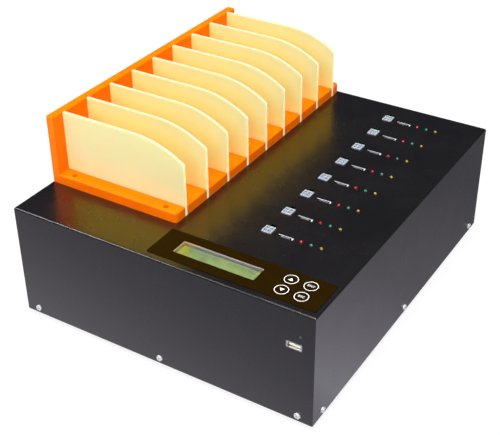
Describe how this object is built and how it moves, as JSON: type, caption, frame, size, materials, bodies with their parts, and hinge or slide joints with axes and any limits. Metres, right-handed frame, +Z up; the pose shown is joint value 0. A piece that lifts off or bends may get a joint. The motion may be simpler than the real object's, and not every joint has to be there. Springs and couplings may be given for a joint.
{
  "type": "drive duplicator",
  "caption": "Low black sheet-metal control case with an orange rack of cream dividers on top, a row of drive sockets and lamps beside each bay, and a display with round keys.",
  "frame": {"origin": "middle of the footprint, on the surface that the rubber feet stand on", "axes": "+X to the right along the front face, +Y from the front face to the rear panel, +Z up"},
  "size_m": [0.3186, 0.3704, 0.19],
  "materials": {
    "case_black": "satin powder coat",
    "rack_orange": "semi-gloss orange",
    "divider_cream": "frosted cream sheet",
    "rubber_black": "matte",
    "screw_steel": "zinc plated",
    "header_white": "moulded nylon",
    "header_black": "moulded",
    "contact_gold": "gold flash",
    "pin_tin": "tin plated",
    "board_black": "solder mask",
    "board_green": "solder mask",
    "lamp_red": "tinted epoxy",
    "lamp_green": "tinted epoxy",
    "lamp_yellow": "tinted epoxy",
    "overlay_film": "printed polycarbonate film",
    "gasket_foam": "closed-cell foam",
    "window_clear": "clear gloss film",
    "bezel_black": "black stamped frame",
    "display_green": "reflective liquid crystal",
    "port_shell": "nickel plated",
    "tongue_white": "moulded",
    "fitting_black": "moulded nylon",
    "plated_box": "galvanised",
    "sink_alloy": "anodised",
    "spacer_brass": "turned"
  },
  "bodies": {
    "chassis": {"top_cover": "case_black", "base_tray": "case_black", "rear_panel": "case_black", "cover_screws": "screw_steel", "rear_panel_screws": "screw_steel", "rubber_feet": "rubber_black", "foot_screws": "screw_steel", "rack_back_wall": "rack_orange", "rack_base": "rack_orange", "rack_screws": "screw_steel", "rack_wall_screws": "screw_steel", "power_headers": "header_white", "power_pins": "pin_tin", "sata_headers": "header_black", "sata_contacts": "contact_gold", "red_leds": "lamp_red", "green_leds": "lamp_green", "yellow_leds": "lamp_yellow", "led_leads": "pin_tin", "port_board": "board_black", "usb_shell": "port_shell", "usb_tongue": "tongue_white", "usb_contacts": "contact_gold", "usb_board": "board_green", "status_led": "lamp_green", "panel_overlay": "overlay_film", "display_window": "window_clear", "display_gasket": "gasket_foam", "display_bezel": "bezel_black", "display_glass": "display_green", "display_board": "board_green", "keypad_board": "board_green", "tact_switches": "fitting_black", "inlet_housing": "fitting_black", "inlet_pins": "pin_tin", "switch_frame": "fitting_black", "fan_frame": "fitting_black", "fan_screws": "screw_steel", "power_supply": "plated_box", "terminal_block": "fitting_black", "main_board": "board_green", "heat_sink": "sink_alloy", "board_spacers": "spacer_brass", "divider_1": "divider_cream", "divider_2": "divider_cream", "divider_3": "divider_cream", "divider_4": "divider_cream", "divider_5": "divider_cream", "divider_6": "divider_cream", "divider_7": "divider_cream", "divider_8": "divider_cream", "divider_9": "divider_cream"},
    "up_key": {"key_up": "overlay_film"},
    "down_key": {"key_down": "overlay_film"},
    "enter_key": {"key_enter": "overlay_film"},
    "escape_key": {"key_escape": "overlay_film"},
    "rocker": {"power_rocker": "fitting_black"},
    "rotor": {"fan_rotor": "fitting_black"}
  },
  "joints": [
    {"name": "key_up_press", "type": "slide", "parent": "chassis", "child": "up_key", "axis": [0, 0, -1], "range_m": [0, 0.0005], "stiffness_N_per_m": 800, "springref_m": -0.0004},
    {"name": "key_down_press", "type": "slide", "parent": "chassis", "child": "down_key", "axis": [0, 0, -1], "range_m": [0, 0.0005], "stiffness_N_per_m": 800, "springref_m": -0.0004},
    {"name": "key_enter_press", "type": "slide", "parent": "chassis", "child": "enter_key", "axis": [0, 0, -1], "range_m": [0, 0.0005], "stiffness_N_per_m": 800, "springref_m": -0.0004},
    {"name": "key_escape_press", "type": "slide", "parent": "chassis", "child": "escape_key", "axis": [0, 0, -1], "range_m": [0, 0.0005], "stiffness_N_per_m": 800, "springref_m": -0.0004},
    {"name": "power_switch_rock", "type": "hinge", "parent": "chassis", "child": "rocker", "pos_m": [-0.0455, 0.181, 0.089], "axis": [1, 0, 0], "range_deg": [0, 20]},
    {"name": "fan_spin", "type": "hinge", "parent": "chassis", "child": "rotor", "pos_m": [0.0805, 0.1688, 0.06345], "axis": [0, 1, 0], "continuous": true}
  ]
}
